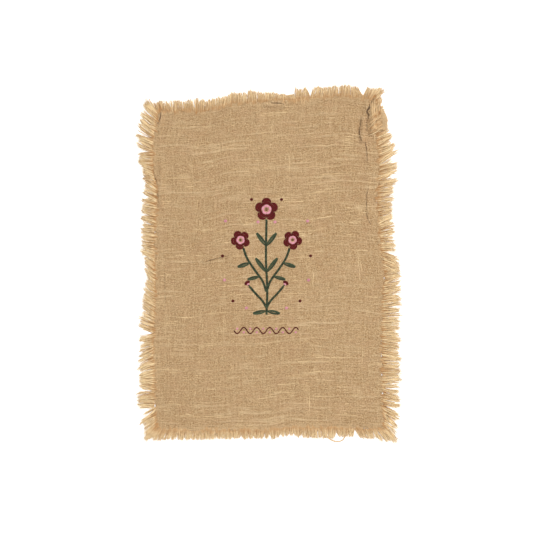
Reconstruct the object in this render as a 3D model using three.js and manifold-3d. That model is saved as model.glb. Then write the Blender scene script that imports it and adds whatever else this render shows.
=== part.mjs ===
// A fringed cotton hand towel that lies open on a flat surface, its short sides at the top and bottom.
// Units are millimetres and +Z is up. The origin is under the middle of the towel, on that surface.
import * as THREE from "three";
import Module from "manifold-3d";

const wasm = await Module();
wasm.setup();

// Driving sizes
const clothThickness = 1.6;
const rootStripWidth = 4; // the last woven rows, which hold the fringe
const partGap = 0.3; // between the cloth and each strip, and where strips meet
const clothInset = rootStripWidth + partGap;

// One lock of the fringe stands for a pinch of loose yarns
const lock = {
  pitch: 7.3,
  rootShare: 0.88, // of the pitch
  waistShare: 0.84,
  tipShare: 0.48,
  topShare: 0.6, // width of the upper face against the lower one
  rootHeight: 1.5,
  waistHeight: 1.4,
  tipHeight: 0.7,
  waistAt: 0.4, // of the reach
  waistTurn: 0.32, // of the sideways lean that a lock has taken there
  uneven: 0.1, // how much neighbours differ in length
  cornerLean: 56, // degrees that the locks at the ends of a side turn towards
  cornerRoom: 1, // from the corner, or from the strip that fills it
};

const colours = { cloth: 0xc2a074, fringe: 0xdab585 };
const fabricRoughness = 0.95;

// The woven edges as they lie. A row for each bend: its place along the side, and how far out the edge is.
const woven = {
  left: [
    { at: -336, out: -227 },
    { at: -274, out: -230 },
    { at: -174, out: -232 },
    { at: -54, out: -228 },
    { at: 46, out: -230 },
    { at: 136, out: -226 },
    { at: 226, out: -234 },
    { at: 304, out: -224 },
  ],
  right: [
    { at: -334, out: 233 },
    { at: -284, out: 231 },
    { at: -194, out: 229 },
    { at: -94, out: 230 },
    { at: -24, out: 234 },
    { at: 38, out: 227 },
    { at: 116, out: 219 },
    { at: 196, out: 223 },
    { at: 266, out: 219 },
    { at: 330, out: 213 },
  ],
  bottom: [
    { at: -227, out: -336 },
    { at: -137, out: -337 },
    { at: -7, out: -337 },
    { at: 47, out: -331 },
    { at: 163, out: -332 },
    { at: 233, out: -334 },
  ],
  top: [
    { at: -224, out: 304 },
    { at: -137, out: 306 },
    { at: -57, out: 322 },
    { at: 33, out: 328 },
    { at: 143, out: 335 },
    { at: 213, out: 330 },
  ],
};

// The tufts of each fringe. A row for each: where it ends along the side, how far it reaches past
// the weave, its lean in degrees towards the positive end of the side, and the bare gap after it.
const tufts = {
  left: [
    { end: -296, reach: 26, lean: -40, gap: 4 },
    { end: -256, reach: 30, lean: -4, gap: 3 },
    { end: -214, reach: 25, lean: 2, gap: 0 },
    { end: -174, reach: 26, lean: -30, gap: 0 },
    { end: -140, reach: 25, lean: -14, gap: 4 },
    { end: -108, reach: 24, lean: 22, gap: 0 },
    { end: -62, reach: 19, lean: 34, gap: 0 },
    { end: -10, reach: 15, lean: 38, gap: 0 },
    { end: 26, reach: 20, lean: 24, gap: 0 },
    { end: 76, reach: 23, lean: 8, gap: 3 },
    { end: 130, reach: 22, lean: 12, gap: 0 },
    { end: 182, reach: 17, lean: 44, gap: 0 },
    { end: 222, reach: 26, lean: 16, gap: 4 },
    { end: 266, reach: 29, lean: 32, gap: 0 },
    { end: 304, reach: 25, lean: 42, gap: 0 },
  ],
  right: [
    { end: -290, reach: 28, lean: -40, gap: 0 },
    { end: -264, reach: 28, lean: -14, gap: 0 },
    { end: -206, reach: 28, lean: -4, gap: 3 },
    { end: -138, reach: 26, lean: -8, gap: 3 },
    { end: -88, reach: 29, lean: 4, gap: 7 },
    { end: -44, reach: 31, lean: 8, gap: 0 },
    { end: -14, reach: 26, lean: 16, gap: 3 },
    { end: 22, reach: 25, lean: -24, gap: 5 },
    { end: 62, reach: 24, lean: -4, gap: 0 },
    { end: 94, reach: 24, lean: 24, gap: 0 },
    { end: 136, reach: 26, lean: 0, gap: 0 },
    { end: 196, reach: 27, lean: 10, gap: 4 },
    { end: 250, reach: 26, lean: 26, gap: 0 },
    { end: 286, reach: 23, lean: 34, gap: 0 },
    { end: 330, reach: 20, lean: 40, gap: 0 },
  ],
  bottom: [
    { end: -212, reach: 20, lean: -40, gap: 0 },
    { end: -180, reach: 18, lean: -16, gap: 3 },
    { end: -146, reach: 17, lean: -6, gap: 0 },
    { end: -106, reach: 16, lean: -10, gap: 0 },
    { end: -12, reach: 14, lean: 0, gap: 0 },
    { end: 34, reach: 13, lean: 2, gap: 0 },
    { end: 64, reach: 15, lean: -5, gap: 0 },
    { end: 98, reach: 18, lean: 6, gap: 8 },
    { end: 136, reach: 18, lean: 0, gap: 5 },
    { end: 172, reach: 15, lean: -5, gap: 4 },
    { end: 200, reach: 16, lean: 26, gap: 0 },
    { end: 233, reach: 23, lean: 40, gap: 0 },
  ],
  top: [
    { end: -210, reach: 20, lean: -40, gap: 3 },
    { end: -194, reach: 17, lean: -6, gap: 6 },
    { end: -146, reach: 20, lean: -10, gap: 3 },
    { end: -108, reach: 20, lean: 0, gap: 0 },
    { end: -64, reach: 20, lean: 6, gap: 0 },
    { end: -12, reach: 19, lean: -4, gap: 0 },
    { end: 30, reach: 10, lean: 24, gap: 0 },
    { end: 54, reach: 8, lean: -20, gap: 3 },
    { end: 78, reach: 20, lean: 0, gap: 10 },
    { end: 124, reach: 21, lean: 8, gap: 0 },
    { end: 174, reach: 22, lean: 10, gap: 11 },
    { end: 213, reach: 18, lean: 32, gap: 0 },
  ],
};

// Folds and creases that lift the cloth. A row for each: its two ends, its half width and its height.
const folds = [
  { x0: 198, y0: 314, x1: 190, y1: 290, halfWidth: 9, height: 4.5 }, // ridge that runs into the corner
  { x0: 190, y0: 290, x1: 187, y1: 244, halfWidth: 8, height: 5 },
  { x0: 208, y0: 306, x1: 207, y1: 262, halfWidth: 9, height: 4 }, // the corner, pushed up beside it
  { x0: 200, y0: 226, x1: 199, y1: 96, halfWidth: 7, height: 1.6 }, // long crease down the right side
  { x0: -214, y0: 192, x1: -216, y1: 112, halfWidth: 8, height: 2.2 }, // tuck at the left side
  { x0: -213, y0: 296, x1: -217, y1: 262, halfWidth: 7, height: 2.5 }, // tuck in the upper left corner
  { x0: -22, y0: 310, x1: -2, y1: 150, halfWidth: 12, height: 1.4 }, // middle crease, from storing it folded
  { x0: -128, y0: 3, x1: -66, y1: 20, halfWidth: 10, height: 2 }, // short slanting wrinkle
  { x0: -6, y0: 317, x1: 30, y1: 314, halfWidth: 8, height: 3.5 }, // the upper edge, rolled over a little
];

// Broad lifts of a cloth that isn't pressed: sine waves whose upper part rises off the surface.
const lifts = {
  lengthX: 96,
  lengthY: 122,
  skew: 0.35, // how far the waves turn from the sides
  rise: 2.4,
  floor: 0.45, // the share of a wave that stays on the surface
  edgeFade: 0.12, // of the cloth's size, over which they die out towards an edge
};

// Rows and columns of the cloth, close where it is creased. Each band runs to a share of the side.
const columnBands = [
  { to: 0.08, cells: 4 },
  { to: 0.42, cells: 9 },
  { to: 0.56, cells: 6 },
  { to: 0.84, cells: 7 },
  { to: 1, cells: 9 },
];
const rowBands = [
  { to: 0.4, cells: 12 },
  { to: 0.6, cells: 9 },
  { to: 0.84, cells: 9 },
  { to: 1, cells: 9 },
];

const mix = THREE.MathUtils.lerp;
const ease = (share) => share * share * (3 - 2 * share);

function edgeOut(side, at) {
  const rows = woven[side];
  const found = rows.findIndex((row) => row.at >= at);
  const last = found < 0 ? rows.length - 1 : Math.max(found, 1);
  const [low, high] = [rows[last - 1], rows[last]];
  const share = THREE.MathUtils.clamp((at - low.at) / (high.at - low.at), 0, 1);
  return mix(low.out, high.out, ease(share));
}

// Each side's outward direction, and whether its line runs up the page or across it
const facing = {
  left: { outward: new THREE.Vector2(-1, 0), upright: true },
  right: { outward: new THREE.Vector2(1, 0), upright: true },
  bottom: { outward: new THREE.Vector2(0, -1), upright: false },
  top: { outward: new THREE.Vector2(0, 1), upright: false },
};

function edgePoint(side, at, inset) {
  const { outward, upright } = facing[side];
  const out = edgeOut(side, at);
  const point = upright ? new THREE.Vector2(out, at) : new THREE.Vector2(at, out);
  return point.addScaledVector(outward, -inset);
}

function endsOf(side) {
  const rows = woven[side];
  return { start: rows[0].at, end: rows[rows.length - 1].at };
}

// A place along a side, from the cloth's one corner at 0 to its other at 1
function placeAlong(side, share) {
  const { start, end } = endsOf(side);
  return mix(start + clothInset, end - clothInset, share);
}

function sidePoint(side, share) {
  return edgePoint(side, placeAlong(side, share), clothInset);
}

// A point of the cloth: across and up run from 0 to 1, and the four edges are blended between
function clothPoint(across, up) {
  const low = sidePoint("bottom", across).lerp(sidePoint("top", across), up);
  const wide = sidePoint("left", up).lerp(sidePoint("right", up), across);
  const lowCorner = sidePoint("bottom", 0).lerp(sidePoint("bottom", 1), across);
  const highCorner = sidePoint("top", 0).lerp(sidePoint("top", 1), across);
  return low.add(wide).sub(lowCorner.lerp(highCorner, up));
}

function foldHeight(point) {
  const onFold = new THREE.Vector3();
  const here = new THREE.Vector3(point.x, point.y, 0);
  const heights = folds.map((fold) => {
    const ends = [new THREE.Vector3(fold.x0, fold.y0, 0), new THREE.Vector3(fold.x1, fold.y1, 0)];
    new THREE.Line3(...ends).closestPointToPoint(here, true, onFold);
    const share = Math.min(here.distanceTo(onFold) / fold.halfWidth, 1);
    return fold.height * ease(1 - share);
  });
  return Math.max(...heights);
}

function broadLift(point, across, up) {
  const alongX = (point.x + lifts.skew * point.y) / lifts.lengthX;
  const alongY = (point.y - lifts.skew * point.x) / lifts.lengthY;
  const wave = Math.sin(2 * Math.PI * alongX) * Math.sin(2 * Math.PI * alongY);
  const nearest = Math.min(across, up, 1 - across, 1 - up);
  const fade = ease(Math.min(nearest / lifts.edgeFade, 1));
  return lifts.rise * fade * Math.max(wave - lifts.floor, 0);
}

function stationsOf(bands) {
  const stations = [0];
  for (const { to, cells } of bands) {
    const from = stations[stations.length - 1];
    for (let cell = 1; cell <= cells; cell += 1) {
      stations.push(mix(from, to, cell / cells));
    }
  }
  return stations;
}

// The woven cloth: one sheet of even thickness, whose underside is flat except where a fold lifts it
function clothGeometry() {
  const columns = stationsOf(columnBands);
  const rows = stationsOf(rowBands);
  const positions = [];
  for (const layer of [clothThickness, 0]) {
    for (const up of rows) {
      for (const across of columns) {
        const point = clothPoint(across, up);
        const lift = Math.max(foldHeight(point), broadLift(point, across, up));
        positions.push(point.x, point.y, layer + lift);
      }
    }
  }
  const [wide, high] = [columns.length, rows.length];
  const underside = wide * high;
  const faces = [];
  const addQuad = (a, b, c, d) => faces.push(a, b, c, a, c, d);
  for (let row = 0; row < high - 1; row += 1) {
    for (let column = 0; column < wide - 1; column += 1) {
      const a = row * wide + column;
      addQuad(a, a + 1, a + wide + 1, a + wide);
      addQuad(underside + a, underside + a + wide, underside + a + wide + 1, underside + a + 1);
    }
  }
  const walk = (cells, cornerAt) => Array.from({ length: cells }, (unused, step) => cornerAt(step));
  const rim = [
    ...walk(wide - 1, (step) => step),
    ...walk(high - 1, (step) => step * wide + wide - 1),
    ...walk(wide - 1, (step) => wide * high - 1 - step),
    ...walk(high - 1, (step) => (high - 1 - step) * wide),
  ];
  rim.forEach((here, index) => {
    const next = rim[(index + 1) % rim.length];
    addQuad(here, underside + here, underside + next, next);
  });
  const geometry = new THREE.BufferGeometry();
  geometry.setAttribute("position", new THREE.Float32BufferAttribute(positions, 3));
  geometry.setIndex(faces);
  return geometry;
}

function toSolid(positions, faces) {
  return new wasm.Manifold(
    new wasm.Mesh({
      numProp: 3,
      vertProperties: new Float32Array(positions),
      triVerts: new Uint32Array(faces),
    }),
  );
}

function fromSolid(solid) {
  const mesh = solid.getMesh();
  const geometry = new THREE.BufferGeometry();
  geometry.setAttribute("position", new THREE.BufferAttribute(mesh.vertProperties, 3));
  geometry.setIndex(new THREE.BufferAttribute(mesh.triVerts, 1));
  return geometry;
}

// A closed bar through four-cornered sections, which all list their corners the same way round
function barSolid(sections) {
  const positions = sections.flatMap((section) => section.flatMap((corner) => corner.toArray()));
  const sides = 4;
  const faces = [];
  for (let index = 0; index < sections.length - 1; index += 1) {
    for (let side = 0; side < sides; side += 1) {
      const a = index * sides + side;
      const b = index * sides + ((side + 1) % sides);
      faces.push(a, b, b + sides, a, b + sides, a + sides);
    }
  }
  const last = (sections.length - 1) * sides;
  faces.push(0, 2, 1, 0, 3, 2, last, last + 1, last + 2, last, last + 2, last + 3);
  const solid = toSolid(positions, faces);
  return solid.volume() < 0 ? toSolid(positions, faces.reverse()) : solid;
}

// The narrow strip that holds a fringe bends where the cloth does. Upper and lower strips fill the corners.
function stripSolid(side) {
  const { start, end } = endsOf(side);
  const upright = facing[side].upright;
  const places = stationsOf(upright ? rowBands : columnBands).map((share) => placeAlong(side, share));
  const sections = (upright ? places : [start, ...places, end]).map((at) => {
    const outer = edgePoint(side, at, 0);
    const inner = edgePoint(side, at, rootStripWidth);
    return [
      new THREE.Vector3(outer.x, outer.y, 0),
      new THREE.Vector3(inner.x, inner.y, 0),
      new THREE.Vector3(inner.x, inner.y, clothThickness),
      new THREE.Vector3(outer.x, outer.y, clothThickness),
    ];
  });
  return barSolid(sections);
}

// One lock: it leaves the weave squarely, turns to its lean, and lies level on the surface
function lockSolid(side, at, reach, lean, width) {
  const { outward, upright } = facing[side];
  const along = upright ? new THREE.Vector2(0, 1) : new THREE.Vector2(1, 0);
  const sideways = reach * Math.tan(THREE.MathUtils.degToRad(lean));
  const stations = [
    { out: -rootStripWidth / 2, turned: 0, wide: lock.rootShare, high: lock.rootHeight },
    { out: reach * lock.waistAt, turned: lock.waistTurn, wide: lock.waistShare, high: lock.waistHeight },
    { out: reach, turned: 1, wide: lock.tipShare, high: lock.tipHeight },
  ];
  const sections = stations.map(({ out, turned, wide, high }) => {
    const centre = edgePoint(side, at, -out).addScaledVector(along, turned * sideways);
    const corner = (share, height) => {
      const spot = centre.clone().addScaledVector(along, (share * width * wide) / 2);
      return new THREE.Vector3(spot.x, spot.y, height);
    };
    return [
      corner(-1, 0),
      corner(1, 0),
      corner(lock.topShare, high),
      corner(-lock.topShare, high),
    ];
  });
  return barSolid(sections);
}

// The lean at a place in a tuft runs smoothly into its neighbours' unless a gap parts them.
// At the ends of a side it runs into the corner's.
function leanAt(rows, index, share) {
  const own = rows[index].lean;
  const last = rows.length - 1;
  let before = -lock.cornerLean;
  let after = lock.cornerLean;
  if (index > 0) before = rows[index - 1].gap === 0 ? rows[index - 1].lean : own;
  if (index < last) after = rows[index].gap === 0 ? rows[index + 1].lean : own;
  const neighbour = share < 0.5 ? before : after;
  return mix(own, (own + neighbour) / 2, Math.abs(share - 0.5) * 2);
}

function fringeGeometry(side) {
  const rows = tufts[side];
  const solids = [stripSolid(side)];
  const cornerRoom = lock.cornerRoom + (facing[side].upright ? clothInset : 0);
  let from = endsOf(side).start + cornerRoom;
  rows.forEach((tuft, index) => {
    const to = index === rows.length - 1 ? tuft.end - cornerRoom : tuft.end - tuft.gap / 2;
    const count = Math.max(Math.round((to - from) / lock.pitch), 1);
    const width = (to - from) / count;
    for (let place = 0; place < count; place += 1) {
      const share = (place + 0.5) / count;
      const at = mix(from, to, share);
      const uneven = 1 + lock.uneven * Math.sin(at) + (lock.uneven / 2) * Math.sin(at / 3);
      solids.push(lockSolid(side, at, tuft.reach * uneven, leanAt(rows, index, share), width));
    }
    from = tuft.end + tuft.gap / 2;
  });
  return fromSolid(wasm.Manifold.union(solids));
}

function pieceMesh(name, geometry, colour) {
  const material = new THREE.MeshStandardMaterial({
    color: colour,
    roughness: fabricRoughness,
    metalness: 0,
  });
  const mesh = new THREE.Mesh(geometry, material);
  mesh.name = name;
  return mesh;
}

const towel = new THREE.Group();
towel.add(pieceMesh("towel_cloth", clothGeometry(), colours.cloth));
for (const side of Object.keys(facing)) {
  towel.add(pieceMesh("fringe_" + side, fringeGeometry(side), colours.fringe));
}

// The fringes differ in length, so the finished towel is moved to have its middle over the origin
const middle = new THREE.Box3().setFromObject(towel).getCenter(new THREE.Vector3());
towel.position.set(-middle.x, -middle.y, 0);

export default towel;
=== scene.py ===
import math

import bmesh
import bpy
import numpy as np
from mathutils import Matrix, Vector, noise


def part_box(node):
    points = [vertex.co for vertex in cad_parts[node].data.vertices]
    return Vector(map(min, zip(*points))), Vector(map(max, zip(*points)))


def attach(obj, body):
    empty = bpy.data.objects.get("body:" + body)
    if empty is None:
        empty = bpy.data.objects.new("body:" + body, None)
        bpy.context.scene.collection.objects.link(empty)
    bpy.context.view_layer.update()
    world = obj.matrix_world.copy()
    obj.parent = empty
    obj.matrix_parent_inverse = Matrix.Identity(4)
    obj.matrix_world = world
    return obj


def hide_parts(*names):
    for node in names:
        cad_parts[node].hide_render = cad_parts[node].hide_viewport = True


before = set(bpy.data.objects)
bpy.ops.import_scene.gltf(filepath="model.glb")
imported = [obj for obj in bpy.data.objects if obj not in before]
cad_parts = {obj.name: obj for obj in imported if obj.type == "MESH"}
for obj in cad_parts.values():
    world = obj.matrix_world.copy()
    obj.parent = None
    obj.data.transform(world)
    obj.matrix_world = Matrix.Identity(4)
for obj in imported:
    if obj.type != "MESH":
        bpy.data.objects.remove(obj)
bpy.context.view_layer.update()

scene = bpy.context.scene
mm = 0.001
mainBody = "root"
random = np.random.default_rng(14)


def deselectAll():
    for item in bpy.context.selected_objects:
        item.select_set(False)


def ease(share):
    return share * share * (3 - 2 * share)


def between(low, high, share):
    return low + (high - low) * share


# Random values from low to high, and random values spread about zero
def draw(low, high, *size):
    return between(low, high, random.random(*size))


def scatter(width, *size):
    return (random.random(*size) - 0.5) * width


# 1 along the middle of a row of places, easing to 0 over a share of them at both ends
def fadeEnds(count, share):
    toEnd = np.minimum(np.arange(count), count - 1 - np.arange(count))
    return ease(np.clip(toEnd / (share * count), 0, 1))


# How the towel lies: the woven edges, folds and lifts, in millimetres
# A side's rows are (place along the side, how far out the weave reaches)
woven = {
    "left": [(-336, -227), (-274, -230), (-174, -232), (-54, -228), (46, -230), (136, -226), (226, -234),
             (304, -224)],
    "right": [(-334, 233), (-284, 231), (-194, 229), (-94, 230), (-24, 234), (38, 227), (116, 219),
              (196, 223), (266, 219), (330, 213)],
    "bottom": [(-227, -336), (-137, -337), (-7, -337), (47, -331), (163, -332), (233, -334)],
    "top": [(-224, 304), (-137, 306), (-57, 322), (33, 328), (143, 335), (213, 330)],
}
outward = {"left": (-1, 0), "right": (1, 0), "bottom": (0, -1), "top": (0, 1)}
nodeInset = 4.3  # the cloth node stops this far inside the woven edge
roughCloth = {"left": -228, "bottom": -336, "width": 458, "height": 655}     # where clothShare's search starts


def isUpright(side):
    return outward[side][0] != 0


def endsOf(side):
    return woven[side][0][0], woven[side][-1][0]


def edgeOut(side, at):
    rows = np.array(woven[side], float)
    place = np.clip(np.searchsorted(rows[:, 0], at), 1, len(rows) - 1)
    low, high = rows[place - 1], rows[place]
    share = np.clip((at - low[..., 0]) / (high[..., 0] - low[..., 0]), 0, 1)
    return between(low[..., 1], high[..., 1], ease(share))


# A point beside a woven edge: out is measured outwards from it
def besideEdge(side, at, out):
    directX, directY = outward[side]
    reach = edgeOut(side, at) + (directX + directY) * out
    pair = (reach, at + 0 * reach) if isUpright(side) else (at + 0 * reach, reach)
    return np.stack(pair, axis=-1)


# A point of the cloth: across and up run from 0 to 1, blended between the four edges
def clothPoint(across, up, inset=0):
    def onSide(side, share):
        start, end = endsOf(side)
        return besideEdge(side, between(start + inset, end - inset, share), -inset)

    a, u = across[..., None], up[..., None]
    low = between(onSide("bottom", across), onSide("top", across), u)
    wide = between(onSide("left", up), onSide("right", up), a)
    zero, one = np.zeros_like(across), np.ones_like(across)
    lowCorners = between(onSide("bottom", zero), onSide("bottom", one), a)
    highCorners = between(onSide("top", zero), onSide("top", one), a)
    return low + wide - between(lowCorners, highCorners, u)


# Where the point (x, y) lies on the cut cloth, as shares across and up, found in a few turns
def clothShare(x, y):
    width, height = roughCloth["width"], roughCloth["height"]
    across, up = (x - roughCloth["left"]) / width, (y - roughCloth["bottom"]) / height
    for turn in range(5):
        place = clothPoint(across, up)
        across = across + (x - place[..., 0]) / width
        up = up + (y - place[..., 1]) / height
    return across, up


# The towel's middle is over the origin, so the tables are moved to where its cloth node is
def tableShift():
    low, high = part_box("towel_cloth")
    steps = np.linspace(0, 1, 401)
    zero, one = np.zeros_like(steps), np.ones_like(steps)
    pairs = [(zero, steps), (one, steps), (steps, zero), (steps, one)]
    rim = np.concatenate([clothPoint(across, up, nodeInset) for across, up in pairs])
    nodeMiddle = np.array([low[0] + high[0], low[1] + high[1]]) / 2 / mm
    return nodeMiddle - (rim.min(axis=0) + rim.max(axis=0)) / 2


shift = tableShift()
print("tables moved by", np.round(shift, 2), "mm")

# Folds that lift the cloth: (x0, y0, x1, y1, half width, height)
folds = [
    (198, 314, 190, 290, 9, 4.5),
    (190, 290, 187, 244, 8, 5),
    (208, 306, 207, 262, 9, 2.8),
    (200, 226, 199, 96, 7, 1.6),
    (-214, 192, -216, 112, 8, 2.2),
    (-213, 296, -217, 262, 7, 2.5),
    (-22, 310, -2, 150, 12, 1.4),
    (-128, 3, -66, 20, 10, 2),
    (-6, 317, 30, 314, 8, 3.5),
]

# Creases. A line's points are (x, y, how deep there), walked with the raised lip on the right hand
creases = [
    {"line": [(195, 258, 0.3), (196, 264, 0.6), (196.6, 274, 0.7), (196.4, 281, 0.8), (199, 290, 0.9),
              (200.4, 296, 1), (197, 302.5, 1.5), (201, 309, 1.5), (205, 317, 1.0), (209, 325, 0.9),
              (213, 333, 0.6)],
     "halfWidth": 2.6, "depth": 2.2, "lip": 1.3, "reach": 7.5, "thin": 1.5},
    {"line": [(188, 240, 0.4), (183, 252, 0.9), (181.6, 258, 1.3), (182, 268, 1.2), (184, 279, 1.0), (184, 290, 0.5)],
     "halfWidth": 2.4, "depth": 1.1, "lip": 0.95, "reach": 8, "thin": 0.9},
    {"line": [(197, 200, 0.3), (197.2, 212, 0.7), (196, 226, 1.0), (194.6, 236, 1.1), (192, 246, 0.8)],
     "halfWidth": 2.0, "depth": 0.7, "lip": 0.6, "reach": 6, "thin": 0.7},
    {"line": [(207, 72, 0.5), (203, 80, 0.85), (198, 90, 0.95), (196, 106, 0.95), (196, 132, 0.95), (199, 147, 0.6),
              (201, 156, 0.2)],
     "halfWidth": 1.6, "depth": 0.5, "lip": 0.35, "reach": 5, "thin": 0.6},
    {"line": [(-223, 275, 0.5), (-220, 281, 1.2), (-217, 288, 1.3), (-215, 296, 1.3), (-215.5, 306, 1.3),
              (-218, 316, 0.8)],
     "halfWidth": 1.8, "depth": 0.8, "lip": 0.8, "reach": 6.5, "thin": 0.7},
    {"line": [(-221, 140, 0.2), (-221, 152, 0.7), (-224, 163, 1.0), (-227, 172, 1.1), (-230, 182, 0.9),
              (-231, 190, 0.3)],
     "halfWidth": 1.6, "depth": 0.9, "lip": 0.8, "reach": 5, "thin": 0.65},
    {"line": [(-227, 106, 0.2), (-221, 116, 0.3), (-220.5, 128, 0.4), (-221.5, 139, 1.0), (-220, 146, 0.7),
              (-222, 156, 0.2)],
     "halfWidth": 1.8, "depth": 0.7, "lip": 0.5, "reach": 5, "thin": 0.6},
    {"line": [(1, 148, 0.15), (-6, 196, 0.3), (-13, 250, 0.35), (-21, 304, 0.2)],
     "halfWidth": 3.5, "depth": 1.7},
    {"line": [(-66, 21, 0.1), (-84, 14, 0.4), (-104, 9, 0.75), (-118, 5, 0.9), (-131, 0, 0.3)],
     "halfWidth": 3.0, "depth": 0.7, "lip": 0.6, "reach": 8, "thin": 0.75},
    {"line": [(34, 316, 0.2), (22, 319.5, 1.0), (8, 320, 1.1), (-4, 323, 0.3)],
     "halfWidth": 2.8, "depth": 1.1, "lip": 0.9, "reach": 6},
    {"line": [(-80, 306, 0.1), (-120, 302, 0.4), (-168, 296, 0.2)],
     "halfWidth": 2.6, "depth": 0.6},
    {"line": [(-150, -290, 0.1), (-154, -220, 0.4), (-152, -150, 0.1)],
     "halfWidth": 4.0, "depth": 0.6},
    {"line": [(-207, -94, 0.4), (-206.5, -70, 0.65), (-207, -40, 0.75), (-207, -14, 0.5)],
     "halfWidth": 1.6, "depth": 0.4, "lip": 0.25, "reach": 4.5, "thin": 0.6},
]

lifts = {"lengthX": 96, "lengthY": 122, "skew": 0.35, "rise": 2.4, "floor": 0.45, "edgeFade": 0.12}

sheet = {
    "flat": (456, 655),
    "top": 1.25,        # height of the upper face where the cloth lies flat
    "lowestTop": 0.35,
    "thickness": 0.85,
    "lowest": 0.05,
    "trough": 0.8,      # the share of a crease's depth that the sheet itself sinks
    "columns": 156,
    "rows": 519,
    "underStep": 3,     # the underside's cells are this many times larger
    # how far the cut edge wavers, and over how wide a band
    "waver": {"most": 6.5, "band": 9, "patch": 12, "lengthways": 0.7, "layers": (21.5, 33.5)},
    # the paler band along the woven edge, with its strength at each side
    "rim": {"narrow": 5, "wide": 20, "patch": 17, "uneven": 1.3, "layer": 41.5,
            "sides": 0.34, "bottom": 0.62, "top": 0.40},
    # loose weave's relief: size across, size up, height, layer of the noise
    "relief": [(29, 16, 0.16, 3.1), (11, 8, 0.12, 7.7), (3.4, 3.0, 0.24, 15.9)],
    # painted shade in the creases' troughs
    "hollow": 0.25,     # how dark a trough is for each millimetre of its depth
}

# Weft lines: thicker yarns and fine pleats that run across the cloth, in groups
weftLines = {
    "groups": 900,
    "most": 4,
    "before": 80,           # how far left of the cloth a group may start
    "slip": (-12, 28),      # and a line from its group's start
    "length": (14, 150),
    "strength": (0.25, 1),
    "between": 3.9,
    "spacing": (0.8, 1.3),
    "ends": 0.22,
    "blur": 0.2,
    "highest": 1.3,
    "height": 0.40,
    "waver": 3.4,
    "sways": [(0.018, 0.017, 4.4, 1), (0.06, 0.1, 8.4, 0.5)],     # rate across, rate up, noise layer, share
    # the painted shade lies this many rows beneath a weft line
    "leeShade": 1.1,             # how many rows beneath a line its dark side is
}


def grain(x, y, sizeX, sizeY, layer):
    spots = zip((x / sizeX).ravel().tolist(), (y / sizeY).ravel().tolist())
    return np.array([noise.noise((a, b, layer)) for a, b in spots]).reshape(x.shape)


def distanceToLine(x, y, line):
    nearest = np.full(x.shape, 1e9)
    strength = np.zeros(x.shape)
    for (x0, y0, *s0), (x1, y1, *s1) in zip(line[:-1], line[1:]):
        alongX, alongY = x1 - x0, y1 - y0
        share = ((x - x0) * alongX + (y - y0) * alongY) / (alongX ** 2 + alongY ** 2)
        share = np.clip(share, 0, 1)
        gap = np.hypot(x - x0 - share * alongX, y - y0 - share * alongY)
        if s0:
            strength = np.where(gap < nearest, between(s0[0], s1[0], share), strength)
        nearest = np.minimum(nearest, gap)
    return nearest, strength


def foldHeight(x, y):
    top = np.zeros(x.shape)
    for x0, y0, x1, y1, halfWidth, height in folds:
        near = distanceToLine(x, y, [(x0, y0), (x1, y1)])[0] / halfWidth
        top = np.maximum(top, height * ease(1 - np.minimum(near, 1)))
    return top


def broadLift(x, y, fade):
    alongX = (x + lifts["skew"] * y) / lifts["lengthX"]
    alongY = (y - lifts["skew"] * x) / lifts["lengthY"]
    wave = np.sin(2 * math.pi * alongX) * np.sin(2 * math.pi * alongY)
    return lifts["rise"] * fade * np.maximum(wave - lifts["floor"], 0)


def creaseTrough(x, y):
    trough = np.zeros(x.shape)
    for crease in creases:
        gap, strength = distanceToLine(x, y, crease["line"])
        near = np.exp(-(gap / crease["halfWidth"]) ** 2)
        trough = np.maximum(trough, near * strength * crease["depth"] * sheet["trough"])
    return trough


# How far a weft yarn strays up or down at a place of the cut cloth
def weftSway(x, y):
    sway = np.zeros(x.shape)
    for rateX, rateY, layer, share in weftLines["sways"]:
        sway = sway + share * grain(x * rateX, y * rateY, 1, 1, layer)
    return weftLines["waver"] * sway


# How high the weft lines stand at each crossing of the cloth's grid
def makeWeftField():
    look, columns, rows = weftLines, sheet["columns"], sheet["rows"]
    width, height = sheet["flat"]
    field = np.zeros((rows + 3, columns + 1))
    for group in range(look["groups"]):
        startX, startY = draw(-look["before"], width), draw(0, height)
        for line in range(1 + int(look["most"] * random.random() ** 1.6)):
            length = between(*look["length"], random.random() ** 2)
            first = (startX + draw(*look["slip"])) / width * columns
            count = int(length / width * columns)
            strength = between(*look["strength"], random.random() ** 1.4)
            y = startY + line * look["between"] * draw(*look["spacing"])
            column = int(first) + np.arange(count)
            lift = strength * fadeEnds(count, look["ends"]) * ((column >= 0) & (column <= columns))
            sway = weftSway(column * width / columns, y + 0.0 * column)
            row = np.clip((y + sway) / height * rows, 0, rows + 0.99)
            low = row.astype(int)
            column = np.clip(column, 0, columns)
            np.add.at(field, (low, column), lift * (1 - row + low))
            np.add.at(field, (low + 1, column), lift * (row - low))
    field[1:-1] = field[1:-1] + look["blur"] * (field[2:] + field[:-2])
    return np.minimum(field[:rows + 1], look["highest"])


weftField = makeWeftField()


# The weft lines' height at any place, and lower = 1 gives the painted shade beneath them
def weftRidge(across, up, lower=0):
    rows, columns = weftField.shape[0] - 1, weftField.shape[1] - 1
    column = np.clip(across * columns, 0, columns - 0.001)
    row = np.clip(up * rows + weftLines["leeShade"] * lower, 0, rows - 0.001)
    left, low = column.astype(int), row.astype(int)
    shareX, shareY = column - left, row - low
    below = between(weftField[low, left], weftField[low, left + 1], shareX)
    above = between(weftField[low + 1, left], weftField[low + 1, left + 1], shareX)
    ridge = between(below, above, shareY)
    return ridge if lower == 0 else np.maximum(ridge - weftRidge(across, up), 0)


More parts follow.
